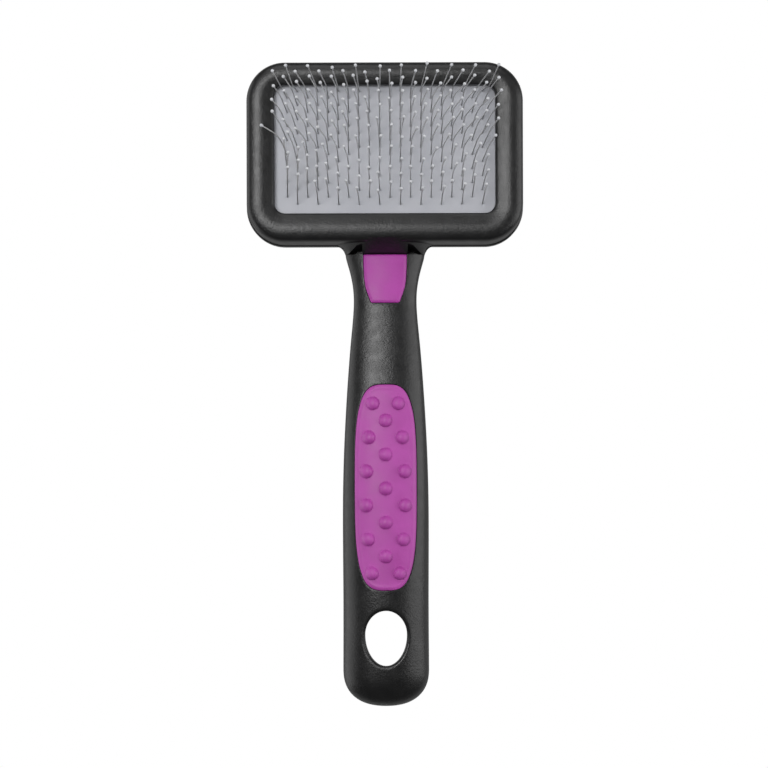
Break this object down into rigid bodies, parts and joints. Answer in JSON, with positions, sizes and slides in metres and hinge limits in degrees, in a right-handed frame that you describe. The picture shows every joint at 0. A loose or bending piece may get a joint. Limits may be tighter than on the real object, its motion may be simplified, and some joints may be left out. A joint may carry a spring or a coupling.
{
  "type": "slicker brush",
  "caption": "Flat rectangular-headed grooming brush with a bed of bent, ball-tipped steel pins, soft inserts in its two-shell handle and an oval hanging hole.",
  "frame": {"origin": "centre of the brush's outline in plan, on the plane that its back lies on", "axes": "+Z is the way the pins point, +Y runs from the handle's butt to the head's far edge, +X is to the right as the pins are looked at with the head up"},
  "size_m": [0.0816, 0.19, 0.0297],
  "materials": {
    "black_plastic": "satin, finely grained black moulding",
    "purple_rubber": "matte soft-touch purple",
    "grey_pad": "satin light bluish grey sheet",
    "backing_cloth": "plain woven cotton",
    "foam": "matte open foam",
    "pin_steel": "drawn steel wire"
  },
  "bodies": {
    "brush_body": {"back_shell": "black_plastic", "front_shell": "black_plastic", "head_frame": "black_plastic", "grip_insert": "purple_rubber", "neck_insert": "purple_rubber", "foam_cushion": "foam"},
    "pin_pad": {"pad_sheet": "grey_pad", "backing_cloth": "backing_cloth", "pin_row_01": "pin_steel", "pin_row_02": "pin_steel", "pin_row_03": "pin_steel", "pin_row_04": "pin_steel", "pin_row_05": "pin_steel", "pin_row_06": "pin_steel", "pin_row_07": "pin_steel", "pin_row_08": "pin_steel", "pin_row_09": "pin_steel", "pin_row_10": "pin_steel", "pin_row_11": "pin_steel", "pin_row_12": "pin_steel", "pin_row_13": "pin_steel", "pin_row_14": "pin_steel", "pin_row_15": "pin_steel", "pin_row_16": "pin_steel", "pin_row_17": "pin_steel"}
  },
  "joints": [
    {"name": "cushion_press", "type": "slide", "parent": "brush_body", "child": "pin_pad", "axis": [0, 0, 1], "range_m": [-0.002, 0], "stiffness_N_per_m": 4000, "springref_m": 0.0004, "deforming": ["foam_cushion"]}
  ]
}
